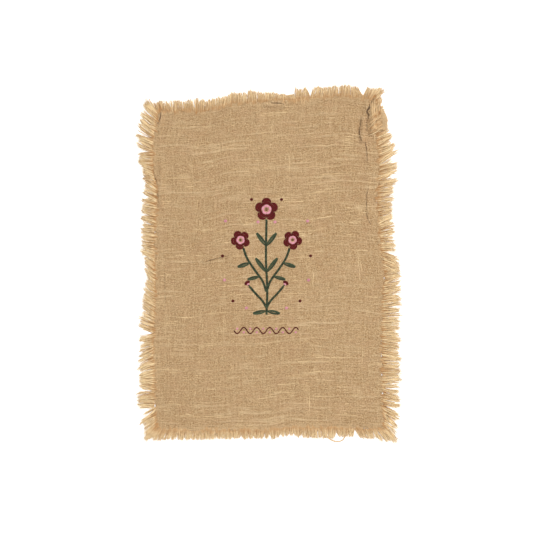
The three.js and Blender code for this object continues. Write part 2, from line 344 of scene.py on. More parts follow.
# Height of the cloth's upper face without its sharp creases
def smoothTop(across, up):
    place = clothPoint(across, up)
    x, y = place[..., 0], place[..., 1]
    fade = ease(np.clip(np.minimum.reduce([across, 1 - across, up, 1 - up]) / lifts["edgeFade"], 0, 1))
    top = sheet["top"] + np.maximum(foldHeight(x, y), broadLift(x, y, fade))
    flatX, flatY = across * sheet["flat"][0], up * sheet["flat"][1]
    for sizeX, sizeY, height, layer in sheet["relief"]:
        top = top + height * grain(flatX, flatY, sizeX, sizeY, layer)
    return top + weftLines["height"] * weftRidge(across, up)


def topHeight(across, up):
    place = clothPoint(across, up)
    sunk = smoothTop(across, up) - creaseTrough(place[..., 0], place[..., 1])
    return np.maximum(sunk, sheet["lowestTop"])


# The same at places that may lie just outside the cloth
def heightBeside(x, y, height=topHeight):
    across, up = clothShare(x, y)
    return height(np.clip(across, 0, 1), np.clip(up, 0, 1))


# Materials
def newMaterial(name):
    material = bpy.data.materials.new(name)
    material.use_nodes = True
    shader = material.node_tree.nodes["Principled BSDF"]
    return material, shader


# Builds a material's nodes. add puts one in the tree, and its sockets are linked or set by name or by number
class Nodes:
    def __init__(self, material):
        self.tree = material.node_tree

    def add(self, kind, settings=None, **sockets):
        node = self.tree.nodes.new("ShaderNode" + kind)
        for key, value in (settings or {}).items():
            setattr(node, key, value)
        for key, value in sockets.items():
            self.feed(node.inputs[int(key[1:]) if key[1:].isdigit() else key], value)
        return node

    def feed(self, socket, value):
        if isinstance(value, bpy.types.NodeSocket):
            self.tree.links.new(value, socket)
        else:
            socket.default_value = value

    def maths(self, operation, first, second=0.0):
        return self.add("Math", {"operation": operation}, n0=first, n1=second).outputs[0]

    def times(self, first, second):
        return self.maths("MULTIPLY", first, second)

    def plus(self, first, second):
        return self.maths("ADD", first, second)

    def mixColour(self, factor, first, second):
        return self.add("Mix", {"data_type": "RGBA"}, n0=factor, n6=first, n7=second).outputs[2]

    def noise(self, where, scale, detail, rough):
        stretched = self.add("Mapping", Vector=where, Scale=scale).outputs["Vector"]
        return self.add("TexNoise", Vector=stretched, Scale=1.0, Detail=detail, Roughness=rough).outputs["Fac"]

    def spread(self, value, low, high, toLow=0.0, toHigh=1.0):
        return self.add("MapRange", n0=value, n1=low, n2=high, n3=toLow, n4=toHigh).outputs[0]

    def attribute(self, name):
        return self.add("Attribute", {"attribute_name": name}).outputs["Fac"]

    def dress(self, shader, colour, relief, look):
        bump = self.add("Bump", Height=relief, Strength=look["bump"][0], Distance=look["bump"][1])
        values = {"Base Color": colour, "Normal": bump.outputs["Normal"], "Roughness": look["roughness"],
                  "Specular IOR Level": look["shine"], "Sheen Weight": look["sheen"][0],
                  "Sheen Roughness": look["sheen"][1]}
        for key, value in values.items():
            self.feed(shader.inputs[key], value)


clothLook = {
    "base": (0.560, 0.355, 0.172, 1),
    "dark": (0.345, 0.180, 0.066, 1),
    "light": (0.805, 0.590, 0.335, 1),
    # the weft lines' raised tops: paler thick yarn, with painted light on them
    "crestPaleAndLit": (0.900, 0.670, 0.390, 1),
    "pink": (0.610, 0.365, 0.200, 1),
    "rim": (0.710, 0.485, 0.262, 1),
    # the colour of the painted shade in creases and on the rolled corner
    "deep": (0.070, 0.032, 0.014, 1),
    "warpPitch": 1.15,
    "weftPitch": 1.30,
    "sway": (70.0, 0.0022),     # scale and reach of the yarns' waver
    # scale across and along, detail, roughness, and whether it follows the yarns' waver
    "patterns": {
        "weftStreak": (26.0, 350.0, 2.0, 0.5, True),
        "warpLong": (380.0, 7.0, 2.0, 0.6, True),
        "warpShort": (360.0, 36.0, 2.0, 0.6, True),
        "crinkle": (260.0, 420.0, 1.0, 0.5, True),
        "mottle": (300.0, 300.0, 3.0, 0.7, False),
        "speck": (460.0, 460.0, 1.0, 0.5, False),
        "blotch": (34.0, 34.0, 3.0, 0.6, False),
        "broad": (6.0, 6.0, 2.0, 0.5, False),
    },
    # laid over the dark colour one by one: pattern, from, to, how strong at each, colour
    "tints": [
        ("mottle", 0.30, 0.56, 0.35, 1.0, "base"),
        ("speck", 0.30, 0.50, 0.95, 0.0, "dark"),
        ("speck", 0.50, 0.68, 0.0, 0.85, "light"),
        ("weftStreak", 0.56, 0.66, 0.0, 0.35, "light"),
        ("weftStreak", 0.28, 0.42, 0.20, 0.0, "dark"),
        ("crinkle", 0.52, 0.66, 0.0, 0.50, "light"),
        ("crinkle", 0.34, 0.48, 0.40, 0.0, "dark"),
        # the weft lines' tops: paler yarn with painted light
        ("crestPaleAndLit", 0.25, 1.0, 0.0, 0.55, "crestPaleAndLit"),
        # painted shade beneath the weft lines
        ("leeShade", 0.15, 1.0, 0.0, 0.50, "dark"),
        ("warpLong", 0.52, 0.70, 0.0, 0.24, "light"),
        ("warpLong", 0.30, 0.48, 0.192, 0.0, "dark"),
        ("warpShort", 0.52, 0.70, 0.0, 0.36, "light"),
        ("warpShort", 0.30, 0.48, 0.288, 0.0, "dark"),
        ("blotch", 0.45, 0.75, 0.0, 0.36, "pink"),
        ("broad", 0.35, 0.65, 0.0, 0.08, "light"),
        ("rim", 0.0, 1.0, 0.0, 1.0, "rim"),
        # painted shade in the creases' troughs
        ("hollow", 0.1, 1.0, 0.0, 0.9, "deep"),
        ("weave", 0.05, 0.60, 0.65, 0.0, "dark"),
    ],
    "relief": {"weave": 0.26, "mottle": 0.6, "speck": 1.1, "streakRise": 0.5},
    "bump": (1.0, 0.0021),      # strength, depth
    "roughness": 0.92,
    "shine": 0.2,
    "sheen": (0.12, 0.6),
}


def clothMaterial():
    look = clothLook
    material, shader = newMaterial("slub gauze")
    n = Nodes(material)
    flat = n.add("UVMap", {"uv_map": "UVMap"}).outputs["UV"]
    scale, reach = look["sway"]
    sway = n.add("TexNoise", Vector=flat, Scale=scale, Detail=1.0).outputs["Color"]
    sway = n.add("VectorMath", {"operation": "SCALE"}, n0=sway, Scale=reach).outputs[0]
    wavering = n.add("VectorMath", {"operation": "ADD"}, n0=flat, n1=sway).outputs[0]
    axes = n.add("SeparateXYZ", Vector=wavering)
    warp = n.maths("COSINE", n.times(axes.outputs["X"], math.pi / mm / look["warpPitch"]))
    weft = n.maths("COSINE", n.times(axes.outputs["Y"], math.pi / mm / look["weftPitch"]))
    over = n.times(n.times(warp, weft), 0.4)     # which yarn passes over the other
    warpTop = n.times(n.maths("ABSOLUTE", warp), n.plus(over, 0.6))
    weftTop = n.times(n.maths("ABSOLUTE", weft), n.maths("SUBTRACT", 0.6, over))

    values = {"weave": n.maths("MAXIMUM", warpTop, weftTop)}
    for name, (scaleX, scaleY, detail, rough, follows) in look["patterns"].items():
        values[name] = n.noise(wavering if follows else flat, (scaleX, scaleY, 1.0), detail, rough)
    for name in ("rim", "crestPaleAndLit", "hollow", "leeShade"):
        values[name] = n.attribute(name)
    values["streakRise"] = n.spread(values["weftStreak"], 0.35, 0.75)
    colour, relief = look["dark"], 0.0
    for name, low, high, atLow, atHigh, tint in look["tints"]:
        colour = n.mixColour(n.spread(values[name], low, high, atLow, atHigh), colour, look[tint])
    for name, share in look["relief"].items():
        relief = n.plus(relief, n.times(values[name], share))
    n.dress(shader, colour, relief, look)
    return material


# Yarn and thread: colour runs from dark to light by the piece's own shade, with a twist in the bump and painted shade
# in the twist's grooves
def yarnMaterial(name, dark, light, twistPitch, roughness=0.85, sheen=0.15, twistDepth=0.00025):
    material, shader = newMaterial(name)
    n = Nodes(material)
    along = n.add("UVMap", {"uv_map": "UVMap"}).outputs["UV"]
    axes = n.add("SeparateXYZ", Vector=along)
    fuzz = n.noise(along, (110.0, 9.0, 1.0), 2.0, 0.6)
    tone = n.plus(n.attribute("shade"), n.times(n.maths("SUBTRACT", fuzz, 0.5), 0.6))
    turns = n.plus(n.times(axes.outputs["X"], 1 / (twistPitch * mm)), axes.outputs["Y"])
    twist = n.maths("SINE", n.times(turns, 2 * math.pi))
    colour = n.mixColour(n.spread(tone, 0.0, 1.0), dark, light)
    # painted shade in the twist's grooves
    colour = n.mixColour(n.spread(twist, -1.0, 0.2, 0.3, 0.0), colour, dark)
    fibres = n.plus(n.times(twist, 0.5), n.times(fuzz, 1.6))
    n.dress(shader, colour, fibres, {"bump": (0.6, twistDepth), "roughness": roughness, "shine": 0.25,
                                     "sheen": (sheen, 0.5)})
    return material


gauze = clothMaterial()
slubYarn = yarnMaterial("slub yarn", (0.56, 0.375, 0.190, 1), (0.82, 0.610, 0.340, 1), 4.0)
# the fringe yarn's dark end serves both its darker tone and the painted shade between its yarns
fringeYarn = yarnMaterial("fringe yarn", (0.48, 0.249, 0.095, 1), (0.99, 0.785, 0.462, 1), 3.2)
redThread = yarnMaterial("dark red thread", (0.042, 0.0015, 0.002, 1), (0.145, 0.007, 0.007, 1), 1.6,
                         0.75, 0.02, 0.00015)
pinkThread = yarnMaterial("pink thread", (0.52, 0.19, 0.24, 1), (0.84, 0.40, 0.46, 1), 1.6, 0.65, 0.15, 0.00015)
greenThread = yarnMaterial("green thread", (0.012, 0.020, 0.009, 1), (0.066, 0.092, 0.046, 1), 1.6,
                           0.75, 0.04, 0.00015)
print("materials made")


def pointsOf(mesh):
    spots = np.zeros(len(mesh.vertices) * 3)
    mesh.vertices.foreach_get("co", spots)
    return spots.reshape(-1, 3)


def addMarks(mesh, marks):
    for key, values in marks.items():
        mesh.attributes.new(key, "FLOAT", "POINT").data.foreach_set("value", values.ravel())


# Closed tubes from rings of points: rings is (tube, station, side, 3) in table millimetres
def ringObject(name, rings, marks, material):
    tubes, stations, sides = rings.shape[:3]
    points = rings.copy()
    points[..., 0] += shift[0]
    points[..., 1] += shift[1]
    points[..., 2] = np.maximum(points[..., 2], 0.02)
    first = (np.arange(tubes) * stations * sides)[:, None, None]
    base = first + (np.arange(stations - 1) * sides)[None, :, None]
    here = np.arange(sides)[None, None, :]
    after = (here + 1) % sides
    quads = np.stack([base + here, base + sides + here, base + sides + after, base + after], axis=-1)
    startCaps = first[:, :, 0] + np.arange(sides)[None, :]
    endCaps = first[:, :, 0] + (stations - 1) * sides + np.arange(sides)[None, ::-1]
    mesh = bpy.data.meshes.new(name)
    mesh.from_pydata((points.reshape(-1, 3) * mm).tolist(), [],
                     quads.reshape(-1, 4).tolist() + startCaps.tolist() + endCaps.tolist())

    # the map runs along each tube in metres, and once around it
    middle = rings.mean(axis=2)
    length = np.linalg.norm(np.diff(middle, axis=1), axis=2).cumsum(axis=1) * mm
    length = np.concatenate([np.zeros((tubes, 1)), length], axis=1) + (np.arange(tubes) * 0.377)[:, None]
    along = np.stack([length[:, :-1], length[:, 1:], length[:, 1:], length[:, :-1]], axis=-1)
    along = np.repeat(along[:, :, None, :], sides, axis=2)
    turn = np.arange(sides) / sides
    around = np.stack([turn, turn, turn + 1 / sides, turn + 1 / sides], axis=-1)
    around = np.broadcast_to(around[None, None], along.shape)
    flat = np.stack([along, around], axis=-1).reshape(-1, 2)
    layer = mesh.uv_layers.new(name="UVMap")
    layer.data.foreach_set("uv", np.concatenate([flat, np.zeros((tubes * 2 * sides, 2))]).ravel())
    addMarks(mesh, {key: np.broadcast_to(values, (tubes, stations, sides)) for key, values in marks.items()})
    mesh.polygons.foreach_set("use_smooth", [True] * len(mesh.polygons))
    mesh.materials.append(material)
    mesh.update()
    piece = bpy.data.objects.new(name, mesh)
    scene.collection.objects.link(piece)
    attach(piece, mainBody)
    return piece


# A path's right hand side and its upper side, all along it
def pathSides(paths):
    tangent = np.gradient(paths, axis=-2)
    tangent /= np.linalg.norm(tangent, axis=-1, keepdims=True) + 1e-9
    right = np.cross(tangent, np.array([0.0, 0.0, 1.0]))
    right /= np.linalg.norm(right, axis=-1, keepdims=True) + 1e-9
    return right, np.cross(right, tangent)


def angles(sides):
    return np.arange(sides) * 2 * math.pi / sides


# Round or flattened rings along paths: paths is (tube, station, 3), radii (tube, station)
def ringsAlong(paths, radii, sides, flatness):
    right, upper = pathSides(paths)
    ring = np.cos(angles(sides))[:, None] * right[:, :, None, :]
    ring = ring + np.sin(angles(sides))[:, None] * upper[:, :, None, :] * flatness
    return paths[:, :, None, :] + ring * radii[:, :, None, None]


# Yarns and threads: shades is (tube) or (tube, station)
def tubeObject(name, paths, radii, sides, shades, material, flatness=1.0):
    marks = {"shade": shades.reshape(len(paths), -1, 1)}
    return ringObject(name, ringsAlong(paths, radii, sides, flatness), marks, material)


# How far inside the cut edge a place of the cloth is, from the nearer side and from the nearer end
def insideBy(across, up):
    width, height = sheet["flat"]
    return np.minimum(across, 1 - across) * width, np.minimum(up, 1 - up) * height


def edgeBand(across, up):
    rim = sheet["rim"]
    width, height = sheet["flat"]
    patches = grain(across * width, up * height, rim["patch"], rim["patch"], rim["layer"])
    reach = between(rim["narrow"], rim["wide"], np.clip(0.5 + rim["uneven"] * patches, 0, 1))
    toSide, toEnd = insideBy(across, up)
    band = ease(np.clip(1 - np.minimum(toSide, toEnd) / reach, 0, 1))
    return band * np.where(toSide < toEnd, rim["sides"], np.where(up < 0.5, rim["bottom"], rim["top"]))


def clothSpot(across, up):
    waver = sheet["waver"]
    place = clothPoint(across, up)
    x, y = place[..., 0], place[..., 1]
    reach = waver["most"] * np.clip(1 - np.minimum(*insideBy(across, up)) / waver["band"], 0, 1)
    strayX, strayY = [grain(x, y, waver["patch"], waver["patch"], layer) for layer in waver["layers"]]
    return x + reach * strayX, y + waver["lengthways"] * reach * strayY


# Gives a mesh the cut cloth's map, in metres, from where its points lie on the cloth
def layMap(mesh, across, up):
    corners = np.zeros(len(mesh.loops), int)
    mesh.loops.foreach_get("vertex_index", corners)
    flat = np.stack([across, up], axis=1) * np.array(sheet["flat"]) * mm
    mesh.uv_layers["UVMap"].data.foreach_set("uv", flat[corners].ravel())


# A grid over the cut cloth, with its shares across and up and the index of each crossing
def clothGrid(name, columns, rows):
    deselectAll()
    bpy.ops.mesh.primitive_grid_add(x_subdivisions=columns, y_subdivisions=rows, size=1)
    grid = bpy.context.object
    grid.name = name
    spots = pointsOf(grid.data)
    column = np.rint((spots[:, 0] + 0.5) * columns).astype(int)
    row = np.rint((spots[:, 1] + 0.5) * rows).astype(int)
    index = np.zeros((rows + 1, columns + 1), int)
    index[row, column] = np.arange(len(spots))
    return grid, column / columns, row / rows, index


def placeGrid(grid, across, up, z):
    x, y = clothSpot(across, up)
    grid.data.vertices.foreach_set("co", (np.stack([x + shift[0], y + shift[1], z], axis=1) * mm).ravel())


# Walls between the rims of the two faces: each closes one cell of the underside
def closeRim(mesh, face, back, step):
    rows, columns = back.shape[0] - 1, back.shape[1] - 1
    walk = [(column, 0) for column in range(columns)] + [(columns, row) for row in range(rows)]
    walk += [(column, rows) for column in range(columns, 0, -1)] + [(0, row) for row in range(rows, 0, -1)]
    build = bmesh.new()
    build.from_mesh(mesh)
    build.verts.ensure_lookup_table()
    for (column, row), (nextColumn, nextRow) in zip(walk, walk[1:] + walk[:1]):
        upper = [face[row * step + (nextRow - row) * k, column * step + (nextColumn - column) * k]
                 for k in range(step, -1, -1)]
        corners = [back[row, column], back[nextRow, nextColumn], *upper]
        build.faces.new([build.verts[int(corner)] for corner in corners])
    build.to_mesh(mesh)
    build.free()


# The cloth: one thin sheet on the towel's folds. Its upper face is fine and its underside plainer
def makeCloth():
    columns, rows, step = sheet["columns"], sheet["rows"], sheet["underStep"]
    cloth, across, up, face = clothGrid("cloth", columns, rows)
    top = topHeight(across, up)
    placeGrid(cloth, across, up, top)
    under, underAcross, underUp, back = clothGrid("underside", columns // step, rows // step)
    bpy.ops.object.mode_set(mode="EDIT")
    bpy.ops.mesh.select_all(action="SELECT")
    bpy.ops.mesh.flip_normals()
    bpy.ops.object.mode_set(mode="OBJECT")
    reach = 2 * step + 1
    padded = np.pad(top[face], step, mode="edge")
    lowest = np.min([padded[r:r + rows + 1, c:c + columns + 1] for r in range(reach) for c in range(reach)], axis=0)
    low = np.zeros(back.size)
    low[back] = np.maximum(lowest[::step, ::step] - sheet["thickness"], sheet["lowest"])
    placeGrid(under, underAcross, underUp, low)
    deselectAll()
    under.select_set(True)
    cloth.select_set(True)
    bpy.context.view_layer.objects.active = cloth
    bpy.ops.object.join()
    mesh = cloth.data
    closeRim(mesh, face, back + face.size, step)

    across, up = np.concatenate([across, underAcross]), np.concatenate([up, underUp])
    layMap(mesh, across, up)
    x, y = clothSpot(across, up)
    # the weft lines' paler tops with painted light, the painted shade beneath them, and painted shade in the creases'
    # troughs
    addMarks(mesh, {"rim": edgeBand(across, up), "crestPaleAndLit": weftRidge(across, up), "leeShade": weftRidge(across, up, 1),
                    "hollow": sheet["hollow"] * creaseTrough(x, y)})
    deselectAll()
    cloth.select_set(True)
    bpy.ops.object.shade_smooth()
    mesh.materials.append(gauze)
    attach(cloth, mainBody)
    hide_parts("towel_cloth")
    return cloth


cloth = makeCloth()
print("cloth made", len(cloth.data.polygons), "faces")


# Lays a gauze piece's map on the cut cloth, so that its weave runs on from the cloth's
def mapLikeCloth(piece):
    mesh = piece.data
    spots = pointsOf(mesh) / mm
    layMap(mesh, *clothShare(spots[:, 0] - shift[0], spots[:, 1] - shift[1]))


# A smooth curve through the points, at even steps. A third value of the points runs along with them
def curvePoints(points, step):
    spots = [Vector((*point, 0, 0)[:3]) for point in points]
    spots = [spots[0] * 2 - spots[1], *spots, spots[-1] * 2 - spots[-2]]
    fine = []
    for a, b, c, d in zip(spots[:-3], spots[1:-2], spots[2:-1], spots[3:]):
        for number in range(24):
            t = number / 24
            fine.append(0.5 * (2 * b + (c - a) * t + (2 * a - 5 * b + 4 * c - d) * t ** 2
                               + (3 * b - a - 3 * c + d) * t ** 3))
    fine.append(spots[-2])
    line = np.array([list(p) for p in fine])
    length = np.concatenate([[0], np.hypot(*np.diff(line[:, :2], axis=0).T).cumsum()])
    places = np.linspace(0, length[-1], max(int(length[-1] / step), 2))
    return np.stack([np.interp(places, length, line[:, k]) for k in range(3)], axis=1)


# The sharp part of a crease: a narrow strip of the cloth with a groove and the lip that stands over it, with painted
# shade in the groove
creaseStrip = {
    "step": 1.3,
    # most, rate along the line, step from crease to crease, layer of the noise
    "wiggle": (0.55, 0.42, 3.7, 2.5),
    "uneven": (0.6, 0.23, 5.1, 9.5),
    "strength": (0.05, 1.4),
    "ends": 0.14,
    "groove": 0.85,
    "thickness": 0.3,
    # from the left: (how far to the right, depth of the groove, height of the lip, sunk, how dark its painted shade
    # is)
    "profile": [(-5.4, 0, 0, 0.45, 0), (-3.6, 0, 0, 0.06, 0), (-2.4, 0, 0, -0.03, 0), (-1.4, 0.15, 0, 0, 0.4),
                (-0.8, 0.7, 0, 0, 1.1), (-0.2, 1, 0, 0, 1.4), (0.4, 0.8, 0.15, 0, 1.3), (0.8, 0, 0.75, 0, 0.5),
                (1.4, 0, 1, 0, 0), (2.6, 0, 0.92, 0, 0)],
    # behind the lip, down to the cloth: (share of the crease's reach, height of the lip, sunk)
    "slope": [(0.55, 0.55, 0), (0.78, 0.16, -0.02), (1.0, 0.0, 0.08), (1.3, 0.0, 0.5)],
    "slopeFrom": 1.2,
}


# A value that wanders about zero along a line
def wander(most, rate, apart, layer, count, number):
    return most * np.array([noise.noise((k * rate, number * apart, layer)) for k in range(count)])


def makeCrease(number, crease):
    look = creaseStrip
    line = curvePoints(crease["line"], look["step"])
    count = len(line)
    path = np.stack([line[:, 0], line[:, 1], 0 * line[:, 0]], axis=1)
    right = pathSides(path)[0]
    uneven = 1 + wander(*look["uneven"], count, number)
    strength = np.clip(line[:, 2] * uneven, *look["strength"]) * fadeEnds(count, look["ends"])
    slope = [(share * crease["reach"] + look["slopeFrom"], 0, lip, sunk, 0) for share, lip, sunk in look["slope"]]
    rows = np.array(look["profile"] + slope)
    out = rows[:, 0] * crease.get("thin", 1.0) + wander(*look["wiggle"], count, number)[:, None]
    x = line[:, 0:1] + right[:, 0:1] * out
    y = line[:, 1:2] + right[:, 1:2] * out
    across, up = clothShare(x, y)
    z = smoothTop(across, up) - rows[:, 3]
    z = z - look["groove"] * crease["depth"] * strength[:, None] * rows[:, 1]
    z = z + crease["lip"] * strength[:, None] * rows[:, 2]
    upper = np.stack([x, y, z], axis=-1)[:, ::-1]
    lower = np.stack([x, y, z - look["thickness"]], axis=-1)
    rings = np.concatenate([upper, lower], axis=1)[None]
    # painted shade in the groove, and the weft lines' painted light and shade as on the cloth
    dark = strength[:, None] * rows[:, 4]
    dark = np.concatenate([dark[:, ::-1], 0 * dark], axis=1)[None]
    marks = {"hollow": dark}
    for key, beneath in (("crestPaleAndLit", 0), ("leeShade", 1)):
        ridge = weftRidge(across, up, beneath)
        marks[key] = np.concatenate([ridge[:, ::-1], ridge], axis=1)[None]
    piece = ringObject("crease_%d" % (number + 1), rings, marks, gauze)
    mapLikeCloth(piece)
    return piece


creasePieces = [makeCrease(number, crease) for number, crease in enumerate(creases) if "lip" in crease]
print("creases made")

# Slubs: thick places in the yarn, in groups, sunk in the weave and raised on its upper face
slubs = {
    "groups": 230,
    "most": 4,
    "upright": 0.10,        # the share that runs lengthways
    "length": (12, 104),
    "width": 0.84,
    "uneven": (0.6, 1.15),
    "thinnest": 0.12,
    "sunk": 0.32,
    "rowStep": 3.9,
    "slip": 34,
    "stagger": 1.4,
    "bend": 0.55,
    "edge": 0.004,          # the share of the cloth that stays free at its edges
    "stations": 12,
    "sides": 5,
    "flatness": 0.6,
}


def makeSlubs():
    look, groups, stations = slubs, slubs["groups"], slubs["stations"]
    width, height = sheet["flat"]
    size = 1 + (random.random(groups) ** 1.6 * look["most"]).astype(int)
    group = np.repeat(np.arange(groups), size)
    rank = np.concatenate([np.arange(k) for k in size]) * look["rowStep"]
    count = len(group)
    upright = (random.random(groups) < look["upright"])[group]
    length = between(*look["length"], random.random(count) ** 2.0)
    middleX = (random.random(groups) * width)[group] + np.where(upright, rank, 0)
    middleY = (random.random(groups) * height)[group] + np.where(upright, 0, rank)
    slip = scatter(look["slip"], count)
    middleX = middleX + np.where(upright, 0, slip)
    middleY = middleY + np.where(upright, slip, 0) + scatter(look["stagger"], count)
    along = np.linspace(-0.5, 0.5, stations)[None, :]
    bend = look["bend"] * np.sin(along * draw(5, 11, count)[:, None] + random.random(count)[:, None] * 6)
    flatX = middleX[:, None] + np.where(upright[:, None], bend, length[:, None] * along)
    flatY = middleY[:, None] + np.where(upright[:, None], length[:, None] * along, 0.4 * bend)
    flatY = np.where(upright[:, None], flatY, flatY + weftSway(flatX, middleY[:, None] + 0 * flatX))
    across = np.clip(flatX / width, look["edge"], 1 - look["edge"])
    up = np.clip(flatY / height, look["edge"], 1 - look["edge"])
    z = topHeight(across, up) - look["sunk"]
    swell = np.sin(math.pi * (along * 0.98 + 0.5)) ** 0.6
    lumps = 1 + 0.25 * np.sin(along * 23 + random.random(count)[:, None] * 6)
    radii = look["width"] * draw(*look["uneven"], count)[:, None] * swell * lumps
    paths = np.concatenate([clothPoint(across, up), z[..., None]], axis=-1)
    piece = tubeObject("slubs", paths, np.maximum(radii, look["thinnest"]), look["sides"], random.random(count),
                       slubYarn, look["flatness"])
    return piece


slubPiece = makeSlubs()
print("slubs made")

# The fringe. A side's rows are (end of the tuft along the side, reach, lean in degrees, bare gap after it)
tufts = {
    "left": [(-312, 19, -44, 0), (-289, 25, -34, 4), (-256, 30, -4, 3), (-214, 25, 2, 0), (-174, 26, -30, 0),
             (-140, 25, -14, 4), (-108, 24, 22, 0), (-62, 21, 34, 0), (-10, 15, 38, 0), (26, 23, 24, 0),
             (76, 23, 8, 3), (130, 25, 12, 0), (182, 19, 40, 0), (222, 26, 6, 3), (250, 27, 26, 4), (262, 28, 34, 5),
             (274, 27, 36, 6), (286, 25, 38, 6), (298, 23, 42, 6), (312, 18, 46, 0)],
    "right": [(-324, 19, -46, 12), (-316, 22, -40, 11), (-300, 25, -36, 6), (-286, 28, -30, 3), (-264, 29, -14, 0),
              (-206, 31, -4, 3), (-138, 31, -8, 0), (-88, 30, 4, 7), (-44, 32, 8, 0), (-14, 25, 14, 3),
              (22, 28, -22, 5), (62, 24, -4, 0), (94, 24, 24, 0), (136, 26, 0, 0), (196, 30, 16, 2),
             (248, 27, 26, 0), (268, 18, 34, 0), (300, 15, 30, 0), (330, 12, 34, 0)],
    "bottom": [(-212, 18, -38, 0), (-180, 18, -16, 3), (-146, 17, -6, 0), (-106, 16, -10, 0), (-12, 14, 0, 0),
               (34, 15, 2, 0), (64, 16, -5, 0), (98, 20, 6, 8), (136, 18, 0, 5), (172, 15, -5, 4),
               (206, 18, 28, 7), (217, 22, 36, 10), (226, 22, 38, 8), (233, 20, 46, 0)],
    "top": [(-218, 20, -20, 0), (-209, 21, -6, 4), (-194, 17, -10, 7), (-146, 21, -10, 3), (-108, 23, 0, 0),
            (-64, 21, 6, 0), (-12, 23, -4, 0), (6, 18, 4, 0), (30, 13, 12, 0), (54, 9, -20, 3), (84, 22, -3, 13),
            (124, 21, 8, 0), (187, 22, 6, 22), (202, 21, 18, 0), (213, 23, 42, 0)],
}

yarns = {
    "pinch": 4.1,       # yarns gather into pinches this wide
    "clump": 8.0,       # and pinches into clumps
    "uneven": 0.6,      # how uneven their places are
    "mostLean": 60,
    "gatherPower": 2.0,
    "scallop": 0.25,    # how much shorter the outer yarns of a clump are
    "longer": {"left": 1.19, "right": 1.22, "bottom": 1.13, "top": 1.07},
    # how a clump and a pinch differ from their neighbours
    "clumps": {"reach": (0.91, 1.08), "lean": (-6, 6), "bend": (-0.3, 0.5)},
    "pinches": {"reach": (0.92, 1.05), "lean": (-4, 4), "inside": (0, 1), "arch": (0, 1), "shade": (0, 1)},
    # spacing along the edge, radius, flatness, how strongly ends gather, shades, reach, height over the floor,
    # how far in they start and how deep, arch over the floor, spread in degrees
    "upper": {"pitch": 0.84, "radius": 0.50, "flatness": 0.9, "gather": 0.26, "shades": (0.58, 1.16),
              "reach": (0.86, 1.04), "layer": (0.3, 1.7), "inside": (2, 11), "sunk": 0.1, "arch": 0.9,
              "stations": 10, "sides": 5, "spread": 6, "onTop": True},
    "under": {"pitch": 0.78, "radius": 0.70, "flatness": 0.5, "gather": 0.06, "shades": (0.2, 0.6),
              "reach": (0.80, 1.02), "layer": (0.0, 0.4), "inside": (1.5, 4), "sunk": 0.6, "arch": 0.0,
              "stations": 7, "sides": 4, "spread": 7, "onTop": False},
    "corners": {"left": (-48, 50), "right": (-54, 40), "bottom": (-44, 46), "top": (-30, 57)},     # lean there
    "cornerYarns": (16, 13, 9),     # how many more at each corner, from how far along the side, spread
    # how a yarn's shade changes on its way out: (share of its reach, shade added)
    "shadeAlong": [(-0.5, -0.74), (-0.1, -0.60), (0.1, -0.40), (0.3, -0.26), (0.55, -0.06), (0.8, 0.05),
                   (1.0, 0.10)],
    # painted light on the raised crimp, stronger where a pinch arches higher
    "dash": (0.62, 0.12, 0.11),     # how much lighter some are where they leave the weave, at what share, how far
    # painted shade between pinches
    "hollowShade": 0.62,    # how much darker the yarns between two pinches are
    "contrast": {"left": 1.0, "right": 0.9, "bottom": 0.3, "top": 0.35},      # how strong both are on a side
    # painted shade in creases
    "creaseShade": 0.9,     # how much darker a yarn is where it lies in a crease
    # a side's own shade: (place, shade added)
    "shade": {"left": [(-336, 0.08), (-300, 0.12), (260, 0.12), (312, -0.04)],
              "right": [(-334, 0.02), (-290, 0.08), (250, 0.08), (262, -0.12), (330, -0.1)],
              "bottom": [(-227, -0.08), (-190, -0.06), (190, -0.08), (233, -0.12)],
              "top": [(-224, -0.28), (-205, -0.24), (-198, -0.10), (172, -0.10), (186, -0.24), (213, -0.18)]},
    # no yarn's own shade is darker than this, before the hollows beside it
    "darkest": {"left": 0.14, "right": 0.14, "bottom": 0.28, "top": 0.28},
}
strays = {"share": 1.0, "radius": 0.23, "uneven": (0.6, 1.1), "stations": 6, "sides": 3, "reach": (0.8, 1.44),
          "most": 45, "lean": 26, "wave": (0.4, 2.4), "lowest": 0.3, "stack": 1.6, "shades": (0.6, 1.0)}


# Reach, lean and side shift at places along a side, blended between neighbouring tufts
def tuftValues(side, at):
    rows = np.array(tufts[side], float)
    start, end = endsOf(side)
    ends = rows[:, 0].copy()
    ends[-1] = end + 1
    index = np.clip(np.searchsorted(ends, at), 0, len(rows) - 1)
    begins = np.concatenate([[start - 1], ends[:-1]])
    share = (at - begins[index]) / (ends[index] - begins[index])
    gapAfter = rows[:, 3]
    gapBefore = np.concatenate([[0], gapAfter[:-1]])
    joined = np.concatenate([[False], gapAfter[:-1] == 0])
    joinedNext = np.concatenate([gapAfter[:-1] == 0, [False]])
    last = len(rows) - 1

    def blended(column, atStart=None, atEnd=None):
        own = rows[index, column]
        before = np.where(joined[index], rows[np.maximum(index - 1, 0), column], own)
        after = np.where(joinedNext[index], rows[np.minimum(index + 1, last), column], own)
        before = np.where(index == 0, own if atStart is None else atStart, before)
        after = np.where(index == last, own if atEnd is None else atEnd, after)
        neighbour = np.where(share < 0.5, before, after)
        return between(own, (own + neighbour) / 2, np.abs(share - 0.5) * 2)

    reach, lean = blended(1), blended(2, *yarns["corners"][side])
    reach = reach * np.minimum(np.cos(np.radians(lean)) / np.cos(np.radians(rows[index, 2])), 1)
    closing = np.where(share < 0.5, gapBefore[index] / 2, -gapAfter[index] / 2) * (np.abs(share - 0.5) * 2) ** 1.5
    return reach, lean, closing


